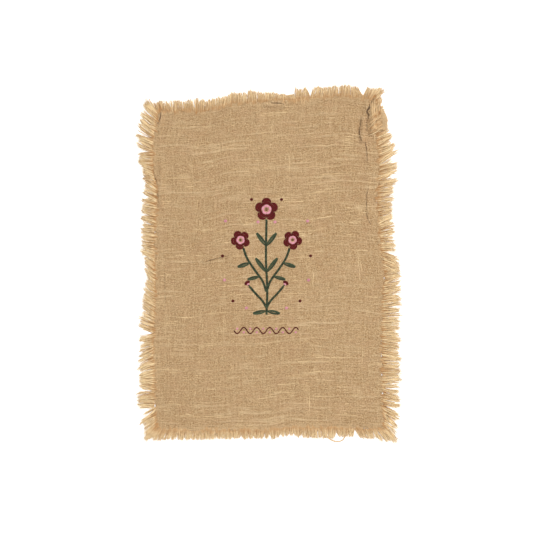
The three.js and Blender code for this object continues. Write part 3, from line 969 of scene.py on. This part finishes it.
# A side's pinches or clumps: their uneven centres, and how each differs from the rest
def gatherCentres(side, spacing):
    start, end = endsOf(side)
    count = int((end - start) / spacing) + 3
    return start + (np.arange(count) - 1) * spacing + scatter(spacing, count) * yarns["uneven"]


def drawEach(group, ranges):
    for key, (low, high) in ranges.items():
        group[key] = draw(low, high, len(group["centres"]))


# How far each place is from the nearest centre, and which it is
def gather(at, centres):
    nearest = np.searchsorted((centres[1:] + centres[:-1]) / 2, at)
    return centres[nearest] - at, nearest


# The way of each yarn of a row: x and y, how far out it is, and its share of the reach
def fringePaths(side, at, reach, lean, closing, gathered, inside, stations, wave, bend):
    count = len(at)
    out = np.linspace(0, 1, stations)[None, :] * (reach + inside)[:, None] - inside[:, None]
    away = out / reach[:, None]
    share = np.clip(away, 0, 1)
    sideways = (reach * np.tan(np.radians(lean)))[:, None] * (away * (1 - bend[:, None]) + bend[:, None] * share ** 2)
    phase = random.random(count)[:, None] * 2 * math.pi
    ripple = wave[:, None] * np.sin(share * draw(3, 9, count)[:, None] + phase)
    ripple = ripple - wave[:, None] * np.sin(phase)
    root = besideEdge(side, at[:, None] + 0 * out, out)
    along = sideways + closing[:, None] * ease(share) + ripple * share
    along = along + gathered[:, None] * (0.6 * ease(np.clip(share * 3, 0, 1)) + 0.4 * share ** yarns["gatherPower"])
    x = root[..., 0] + (0 if isUpright(side) else along)
    y = root[..., 1] + (along if isUpright(side) else 0)
    return x, y, out, share


# Heights of a layer's yarns, which come up out of the weave, drop off its edge and lie on the floor
def yarnHeights(look, x, y, out, share, inside, fromPinch, arch):
    count = len(x)
    surface = heightBeside(x, y)
    rise = np.clip(1 + out / inside[:, None], 0, 1) ** 0.35
    stack = between(*look["layer"], (1 - fromPinch) * draw(0.5, 1.0, count))
    size = look["radius"] * draw(0.75, 1.25, count)
    half = size * look["flatness"]
    z = surface - (half + look["sunk"])[:, None] + rise * draw(0.4, 1.1, count)[:, None] * look["onTop"]
    z = between(z, (half + 0.1 + stack)[:, None], ease(np.clip(share * 2.2, 0, 1)))
    z = z + (look["arch"] * arch)[:, None] * np.sin(math.pi * share ** 0.7)
    return between(z, (half + 0.1 + 0.4 * stack)[:, None], ease(np.clip(share * 1.6 - 0.6, 0, 1))), size


# Their shades along the way: painted shade in the hollows between pinches and in creases, with a painted light dash
# where some leave the weave and arch up
def yarnShades(side, look, at, x, y, away, fromPinch, arch, pinchShade):
    contrast = yarns["contrast"][side]
    mixed = 0.6 * pinchShade + 0.4 * random.random(len(at)) - 0.5
    shades = between(*look["shades"], 0.5 + mixed * (0.4 + 0.6 * contrast))[:, None]
    away = away + (0.24 * (arch - 0.5))[:, None]
    # the dash is painted light where a pinch arches up out of the weave
    most, place, reach = yarns["dash"]
    dash = most * contrast * arch * (1 - fromPinch) * look["onTop"]
    shades = shades + np.interp(away, *zip(*yarns["shadeAlong"]))
    shades = shades + dash[:, None] * np.exp(-((away - place) / reach) ** 2)
    shades = shades + np.interp(at, *zip(*yarns["shade"][side]))[:, None]
    # painted shade between pinches
    hollow = yarns["hollowShade"] * contrast * fromPinch * look["onTop"]
    shades = np.maximum(shades, yarns["darkest"][side]) - hollow[:, None]
    # painted shade where a yarn lies in a crease
    return shades - yarns["creaseShade"] * np.minimum(creaseTrough(x, y), 1)


# One layer of a side's yarns
def makeYarns(side, layer, pinches, clumps):
    look = yarns[layer]
    start, end = endsOf(side)
    at = np.arange(start + 0.6, end - 0.6, look["pitch"])
    at = at + scatter(look["pitch"], len(at)) * 0.8
    more, span, fan = yarns["cornerYarns"]
    extra = span * random.random((2, more)) ** 1.3
    at = np.concatenate([at, start + extra[0], end - extra[1]])
    count = len(at)
    widen = fan * (np.arange(count) >= count - 2 * more)
    reach, tuftLean, closing = tuftValues(side, at)
    toPinch, pinch = gather(at, pinches["centres"])
    toClump, clump = gather(at, clumps["centres"])
    reach = reach * clumps["reach"][clump] * pinches["reach"][pinch] * draw(*look["reach"], count)
    reach = reach * yarns["longer"][side]
    reach = reach * (1 - yarns["scallop"] * np.minimum(np.abs(toClump) / yarns["clump"] * 2, 1.3) ** 2)
    lean = tuftLean + clumps["lean"][clump] + pinches["lean"][pinch]
    lean = lean + (look["spread"] + widen) * draw(-1, 1, count)
    lean = np.clip(lean, -yarns["mostLean"], yarns["mostLean"])
    reach = reach * np.minimum(np.cos(np.radians(lean)) / np.cos(np.radians(tuftLean)), 1.08)
    gathered = look["gather"] * toPinch + 0.3 * look["gather"] * toClump
    inside = between(*look["inside"], pinches["inside"][pinch] ** 1.4) * draw(0.6, 1.0, count)
    wave = draw(0.2, 1.1, count)
    x, y, out, share = fringePaths(side, at, reach, lean, closing, gathered, inside, look["stations"], wave,
                                   clumps["bend"][clump])
    fromPinch = np.clip(np.abs(toPinch) / yarns["pinch"] * 2, 0, 1) ** 1.7
    arch = pinches["arch"][pinch]
    z, size = yarnHeights(look, x, y, out, share, inside, fromPinch, arch)
    slub = 1 + 0.16 * np.sin(share * draw(6, 14, count)[:, None] + (at * 7)[:, None])
    radii = size[:, None] * between(1.0, 0.6, np.clip(share * 3 - 2, 0, 1)) * slub
    radii[:, -1] *= 0.3
    shades = yarnShades(side, look, at, x, y, out / reach[:, None], fromPinch, arch, pinches["shade"][pinch])
    piece = tubeObject("fringe_" + layer + "_" + side, np.stack([x, y, z], axis=-1), radii, look["sides"], shades,
                       fringeYarn, look["flatness"])
    return piece, at, reach, lean, closing


# Fine fibres that stray past the yarn ends
def makeFibres(side, at, reach, lean, closing):
    pick = random.random(len(at)) < strays["share"]
    fine = int(pick.sum())
    zero = np.zeros(fine)
    fineReach = np.minimum(reach[pick] * draw(*strays["reach"], fine), strays["most"])
    fineLean = lean[pick] + draw(-strays["lean"], strays["lean"], fine)
    fineLean = np.clip(fineLean, -yarns["mostLean"], yarns["mostLean"])
    wave = draw(*strays["wave"], fine)
    x, y, out, share = fringePaths(side, at[pick], fineReach, fineLean, closing[pick] * 0.3, zero, zero + 1,
                                   strays["stations"], wave, zero)
    z = between(sheet["top"], strays["lowest"] + strays["stack"] * random.random(fine)[:, None], ease(share))
    radii = strays["radius"] * draw(*strays["uneven"], fine)[:, None] * between(1, 0.5, share)
    fibres = tubeObject("fringe_fibres_" + side, np.stack([x, y, z], axis=-1), radii, strays["sides"],
                        draw(*strays["shades"], fine), fringeYarn)
    return fibres


def makeFringe(side):
    pinches = {"centres": gatherCentres(side, yarns["pinch"])}
    clumps = {"centres": gatherCentres(side, yarns["clump"])}
    drawEach(clumps, yarns["clumps"])
    drawEach(pinches, yarns["pinches"])
    under = makeYarns(side, "under", pinches, clumps)[0]
    upper, at, reach, lean, closing = makeYarns(side, "upper", pinches, clumps)
    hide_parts("fringe_" + side)
    return upper, under, makeFibres(side, at, reach, lean, closing)


fringePieces = [piece for side in outward for piece in makeFringe(side)]
print("fringes made")

# Yarns that lie over the cloth at its top right corner. A row: the roots' line, directions, lengths, count
laidYarns = {
    "rows": [
        ((205, 291), (222, 286), (88, 78), (24, 40), 34),
        ((201, 288), (199.5, 256), (46, 30), (18, 35), 46),
        ((208, 285), (215, 258), (40, 28), (16, 28), 30),
        ((-238, 178), (-232, 160), (150, 196), (9, 16), 9),
    ],
    "radius": 0.56,
    "uneven": (0.75, 1.15),
    "stations": 10,
    "sides": 5,
    "over": (-0.6, 1.5),    # height over the cloth at the root and further on
    "stack": 1.1,
    "rootScatter": 5,
    "turnScatter": 16,
    "bow": 4,
    "shade": (0.10, 0.80),
    # painted shade in the gaps between them: where, how large, how dark
    "pockets": [(217, 275), (211, 331), (214, 293), (206, 268), (222, 300)],
    "pocketSize": 2.8,
    "pocketShade": 1.2,
}
# Where the towel's edge curls over: its path, with the radius at each point. Its outer side gets painted shade
curl = {"path": [(222, 308, 1.6), (226.5, 303, 3.6), (230, 295, 5.3), (231.8, 287, 5.9), (232, 279, 5.2),
                 (231.3, 271, 4.0), (230.5, 264, 2.0)],
        "height": 2.6, "flatness": 0.40, "sides": 16, "step": 1.6, "dark": 0.7, "darkFrom": 0.55}
looseThreads = {
    "radius": 1.1,
    "sides": 6,
    "shade": 0.42,
    "step": 2.2,
    "overCloth": 0.25,
    "beside": 1.1,      # height where one lies beside the cloth
    "paths": [
        [(-250, 170), (-241, 160), (-232, 159), (-226, 166)],
        [(-252, 168), (-243, 171), (-233, 168)],
        [(28, 319), (31, 329), (40, 330), (52, 330), (56, 326), (56, 318)],
        [(48, 328), (56, 333), (64, 331), (66, 326), (66, 318)],
        [(70, 318), (73, 330), (76, 338)],
        [(112, -338), (118, -348), (128, -355), (139, -357), (148, -354), (154, -346), (160, -338)],
        [(22, 330), (34, 334), (47, 336)],
        [(170, 331), (176, 338), (184, 339), (190, 332)],
    ],
}


def makeLaidYarns():
    look = laidYarns
    stations = look["stations"]
    along = np.linspace(0, 1, stations)
    paths = []
    for first, last, turns, lengths, count in look["rows"]:
        for number in range(count):
            share = (number + random.random()) / count
            root = between(np.array(first), np.array(last), share) + scatter(look["rootScatter"], 2)
            turn = math.radians(between(*turns, share) + scatter(look["turnScatter"]))
            reach = draw(*lengths)
            bow = scatter(look["bow"]) * np.sin(math.pi * along)
            x = root[0] + math.cos(turn) * reach * along - math.sin(turn) * bow
            y = root[1] + math.sin(turn) * reach * along + math.cos(turn) * bow
            z = heightBeside(x, y, smoothTop) + between(*look["over"], ease(np.clip(along * 5, 0, 1)))
            paths.append(np.stack([x, y, z + random.random() * look["stack"]], axis=1))
    paths = np.array(paths)
    taper = np.array([0.8] + [1.0] * (stations - 3) + [0.85, 0.5])
    radii = look["radius"] * draw(*look["uneven"], len(paths))[:, None] * taper
    shades = np.repeat(draw(*look["shade"], len(paths))[:, None], stations, axis=1)
    # painted shade in the pockets between the yarns
    deep = look["pocketShade"] * random.random(len(paths))[:, None]
    for x, y in look["pockets"]:
        gap = np.hypot(paths[..., 0] - x, paths[..., 1] - y) / look["pocketSize"]
        shades = shades - deep * np.exp(-gap ** 2)
    piece = tubeObject("laid_yarns", paths, radii, look["sides"], shades, fringeYarn)
    return piece


def makeLooseThreads():
    look = looseThreads
    pieces = []
    for number, points in enumerate(look["paths"]):
        line = curvePoints(points, look["step"])
        across, up = clothShare(line[:, 0], line[:, 1])
        over = (across > 0) & (across < 1) & (up > 0) & (up < 1)
        onCloth = smoothTop(np.clip(across, 0, 1), np.clip(up, 0, 1)) + look["overCloth"]
        paths = np.stack([line[:, 0], line[:, 1], np.where(over, onCloth, look["beside"])], axis=1)[None]
        radii = look["radius"] * np.ones((1, len(line)))
        piece = tubeObject("loose_thread_%d" % (number + 1), paths, radii, look["sides"], np.array([look["shade"]]),
                           fringeYarn)
        pieces.append(piece)
    return pieces


# The rolled bit of cloth at the corner, with painted shade along its outer side
def makeCurl():
    line = curvePoints(curl["path"], curl["step"])
    path = np.stack([line[:, 0], line[:, 1], np.full(len(line), curl["height"])], axis=1)[None]
    rings = ringsAlong(path, line[None, :, 2], curl["sides"], curl["flatness"])
    outer = curl["dark"] * np.clip(-np.cos(angles(curl["sides"])) - curl["darkFrom"], 0, 1)[None, None, :]
    piece = ringObject("rolled_corner", rings, {"hollow": outer, "rim": np.array([1.0])}, gauze)
    mapLikeCloth(piece)
    return piece


loosePieces = [makeLaidYarns(), makeCurl(), *makeLooseThreads()]
print("loose yarns made")

# The embroidery: an upright sprig over a wavy row, with places from the sprig's middle. Its other blossoms and
# stems, its leaves, buds and dots are worked on both sides of the main stem
sprig = {
    "middle": (-4, 8),
    "threadWidth": 1.15,
    "pitch": 0.86,
    "rise": {"green": 0.62, "red": 0.70, "pink": 0.84},
    "sunk": 0.25,
    "topBlossom": (0, 99, 24, 0),
    "blossoms": [(52, 38, 20, 28)],                         # x, y, radius, lean from upright
    # colour, from, to (shares of the radius), where the pitch is measured
    "petals": [("red", 0.62, 1.0, 0.80), ("red", 0.36, 0.74, 0.56), ("pink", 0.17, 0.44, 0.36)],
    "mainStem": [(0, -112), (1.5, -60), (-1, 0), (0, 78)],
    "stems": [
        [(0, -66), (8, -44), (25, -20), (39, 2), (46, 21)],
        [(0, -98), (8, -84), (21, -70), (33, -56)],
    ],
    "strands": (-1.6, -0.55, 0.55, 1.6),
    "stemStep": 3.2,
    # base, tip, width
    "leaves": [(1, -26, 22, 2, 9), (0, 26, 20, 52, 9), (33, -8, 58, -16, 9), (1, -104, 27, -109, 9),
               (14, -35, 38, -41, 8)],
    "buds": [(35, -53, 34)],                                # x, y, lean from upright
    # colour, from, to, half its fan in degrees, stitches
    "budParts": [("green", -5.0, 2.5, 34, 9), ("pink", 1.5, 5.5, 40, 9), ("red", 4.0, 11.0, 44, 15)],
    "dots": {"red": [(30, 119), (88, 6), (67, -84)], "pink": [(82, 76), (17, 74), (84, -42), (40, -98)]},
    "row": {"y": -143, "from": -65, "to": 65, "wave": 26, "height": 6.5, "step": 3.0, "gap": 0.55},
}
bothSides = (1, -1)
stitches = {"red": [], "pink": [], "green": []}


def addStitch(colour, start, end, shade, width=1.0):
    stitches[colour].append((*start, *end, shade, width))


def polar(centre, radius, angle):
    return centre[0] + radius * math.cos(angle), centre[1] + radius * math.sin(angle)


def addBlossom(x, y, radius, lean):
    centre = (x, y)
    for colour, inner, outer, pitchAt in sprig["petals"]:
        count = int(2 * math.pi * radius * pitchAt / sprig["pitch"])
        for number in range(count):
            angle = 2 * math.pi * number / count
            petal = abs(math.cos(2.5 * (angle - math.radians(90 - lean)))) ** 0.55
            reach = 0.60 + 0.40 * petal if outer == 1.0 else outer * (0.80 + 0.20 * petal)
            begin = min(inner, reach - 0.14) + (number % 2) * 0.05 + 0.03 * random.random()
            shade = 0.35 + 0.3 * petal + 0.25 * random.random()
            addStitch(colour, polar(centre, radius * begin, angle), polar(centre, radius * reach, angle), shade)
    for number in range(7):     # one knot in the middle and six around it
        spot = polar(centre, 0.10 * radius if number else 0.0, number * math.pi / 3)
        addStitch("red", (spot[0] - 0.9, spot[1]), (spot[0] + 0.9, spot[1] + 0.3), 0.7, 1.3)


# Stem stitch: strands side by side, each stitch slanting over to the next
def addStem(points):
    step = sprig["stemStep"]
    line = curvePoints(points, step)[:, :2]
    direction = np.gradient(line, axis=0)
    direction /= np.hypot(direction[:, 0], direction[:, 1])[:, None]
    across = np.stack([-direction[:, 1], direction[:, 0]], axis=1)
    for strand, offset in enumerate(sprig["strands"]):
        slip = 0.5 * step * (strand % 2)
        for number in range(len(line) - 1):
            begin = line[number] + direction[number] * (slip - 0.7) + across[number] * (offset - 0.35)
            finish = line[number + 1] + direction[number] * (slip + 0.9) + across[number] * (offset + 0.35)
            band = 0.5 + 0.42 * math.sin(number * 1.9 + strand * 0.3) + 0.1 * random.random()
            addStitch("green", begin, finish, band, 1.08)


# Satin stitch: from the leaf's middle line out to each edge
def addLeaf(x0, y0, x1, y1, width):
    base, tip = np.array([x0, y0], float), np.array([x1, y1], float)
    length = np.hypot(*(tip - base))
    axis = (tip - base) / length
    across = np.array([-axis[1], axis[0]])
    count = int(length / sprig["pitch"])
    for side in (-1, 1):
        for number in range(count):
            share = (number + 0.5) / count
            spread = width / 2 * math.sin(math.pi * min(share * 0.86 + 0.14, 1)) ** 0.75
            begin = base + axis * length * share * 0.92
            finish = base + axis * length * min(share + 0.13, 1) + across * side * spread
            addStitch("green", begin, finish, 0.35 + 0.35 * (side > 0) + 0.3 * random.random())


def addBud(x, y, lean):
    angle = math.radians(90 - lean)
    for colour, inner, outer, half, count in sprig["budParts"]:
        for number in range(count):
            turn = angle + math.radians(between(-half, half, number / (count - 1)))
            reach = outer * (1 - 0.12 * abs(2 * number / (count - 1) - 1) ** 2)
            begin = polar((x, y), abs(inner), angle + math.pi if inner < 0 else turn)
            addStitch(colour, begin, polar((x, y), reach, turn), 0.3 + 0.5 * random.random())


def addDot(colour, x, y, width=6.0, height=7.0):
    count = int(width / sprig["pitch"])
    for number in range(count):
        share = (number + 0.5) / count * 2 - 1
        half = height / 2 * math.sqrt(max(1 - share ** 2, 0.05))
        spot = x + share * width / 2
        addStitch(colour, (spot - 0.2, y - half), (spot + 0.2, y + half), 0.3 + 0.6 * random.random())


# A wavy line of double stitches with a small dot in each of its bends
def addRow(row):
    places = np.arange(row["from"], row["to"] + 1, row["step"])
    heights = row["y"] + row["height"] * np.sin(2 * math.pi * places / row["wave"])
    line = np.stack([places, heights], axis=1)
    for begin, finish in zip(line[:-1], line[1:]):
        middle = between(begin, finish, 0.5)
        half = (finish - begin) * 0.62
        side = np.array([-half[1], half[0]]) / np.hypot(*half) * row["gap"]
        for offset in (-side, side):
            addStitch("red", middle - half + offset, middle + half + offset, 0.3 + 0.5 * random.random(), 1.15)
    bend = row["wave"] / 2
    for number in range(int((row["to"] - row["from"]) / bend)):
        spot = row["from"] + (number + 0.5) * bend
        hollow = -row["height"] * math.sin(2 * math.pi * spot / row["wave"])
        addDot("pink", spot, row["y"] + hollow * 0.55, 4.4, 4.6)


def addSprig():
    addBlossom(*sprig["topBlossom"])
    for x, y, radius, lean in sprig["blossoms"]:
        for side in bothSides:
            addBlossom(side * x, y, radius, side * lean)
    addStem(sprig["mainStem"])
    for stem in sprig["stems"]:
        for side in bothSides:
            addStem([(side * x, y) for x, y in stem])
    for x0, y0, x1, y1, width in sprig["leaves"]:
        for side in bothSides:
            addLeaf(side * x0, y0, side * x1, y1, width)
    for x, y, lean in sprig["buds"]:
        for side in bothSides:
            addBud(side * x, y, side * lean)
    for colour, dots in sprig["dots"].items():
        for x, y in dots:
            for side in bothSides:
                addDot(colour, side * x, y)
    addRow(sprig["row"])


# All stitches of a colour are one piece of short, full threads that arch over the cloth
def makeStitches(colour, thread):
    rows = np.array(stitches[colour], float)
    along = np.linspace(0, 1, 5)[None, :]
    profile = np.array([0.45, 0.95, 1.0, 0.95, 0.45])[None, :]
    x = between(rows[:, 0:1], rows[:, 2:3], along) + sprig["middle"][0]
    y = between(rows[:, 1:2], rows[:, 3:4], along) + sprig["middle"][1]
    z = smoothTop(*clothShare(x, y)) - sprig["sunk"] + sprig["rise"][colour] * np.sin(math.pi * along) ** 0.6
    radii = sprig["threadWidth"] / 2 * rows[:, 5:6] * profile
    piece = tubeObject("stitches_" + colour, np.stack([x, y, z], axis=-1), radii, 5, rows[:, 4], thread, 0.75)
    return piece


addSprig()
stitchPieces = [makeStitches(*pair) for pair in (("red", redThread), ("pink", pinkThread), ("green", greenThread))]
print("embroidery made", {colour: len(rows) for colour, rows in stitches.items()})

# Stage, light and camera
studio = {
    "floorSize": 9.0,
    "floorColour": (0.93, 0.93, 0.93, 1),
    "floorGlow": 0.42,
    "floorRoughness": 0.9,
    "floorShine": 0.1,
    "floorDrop": 0.0004,        # how far it lies below the towel
    "skyStrength": 0.50,
    "keyPower": 400.0,
    "keySize": 2.9,
    "keyPlace": (3.5, 4.6, 4.5),
    "fillPower": 112.0,
    "fillSize": 3.0,
    "fillPlace": (-0.6, -3.7, 3.6),
    "cameraHeight": 4.0,
}
photoView = {"side": 533, "mmPerPixel": 2.0, "axisX": 268.5, "axisY": 263.0}


def makeFloor():
    deselectAll()
    bpy.ops.mesh.primitive_plane_add(size=studio["floorSize"], location=(0, 0, -studio["floorDrop"]))
    floor = bpy.context.object
    floor.name = "floor"
    material, shader = newMaterial("pale floor")
    shader.inputs["Base Color"].default_value = studio["floorColour"]
    shader.inputs["Roughness"].default_value = studio["floorRoughness"]
    shader.inputs["Specular IOR Level"].default_value = studio["floorShine"]
    shader.inputs["Emission Color"].default_value = (1, 1, 1, 1)
    shader.inputs["Emission Strength"].default_value = studio["floorGlow"]
    floor.data.materials.append(material)


def addLamp(name, place, size, power):
    deselectAll()
    bpy.ops.object.light_add(type="AREA", location=place)
    lamp = bpy.context.object
    lamp.name = name
    lamp.data.energy = power
    lamp.data.size = size
    lamp.rotation_euler = (-Vector(place)).to_track_quat("-Z", "Y").to_euler()


def makeStudio():
    makeFloor()
    addLamp("key", studio["keyPlace"], studio["keySize"], studio["keyPower"])
    addLamp("fill", studio["fillPlace"], studio["fillSize"], studio["fillPower"])
    world = bpy.data.worlds.new("studio")
    scene.world = world
    world.use_nodes = True
    sky = world.node_tree.nodes["Background"]
    sky.inputs["Color"].default_value = (1, 1, 1, 1)
    sky.inputs["Strength"].default_value = studio["skyStrength"]
    scene.view_settings.view_transform = "Standard"


def makeCamera():
    half = photoView["side"] / 2
    scale = photoView["mmPerPixel"]
    x = (half - photoView["axisX"]) * scale + shift[0]
    y = (photoView["axisY"] - half) * scale + shift[1]
    deselectAll()
    bpy.ops.object.camera_add(location=(x * mm, y * mm, studio["cameraHeight"]), rotation=(0, 0, 0))
    camera = bpy.context.object
    camera.data.sensor_width = 36
    width = photoView["side"] * scale * mm
    camera.data.lens = camera.data.sensor_width * studio["cameraHeight"] / width
    camera.data.clip_end = 50
    scene.camera = camera


makeStudio()
makeCamera()
print("studio ready")
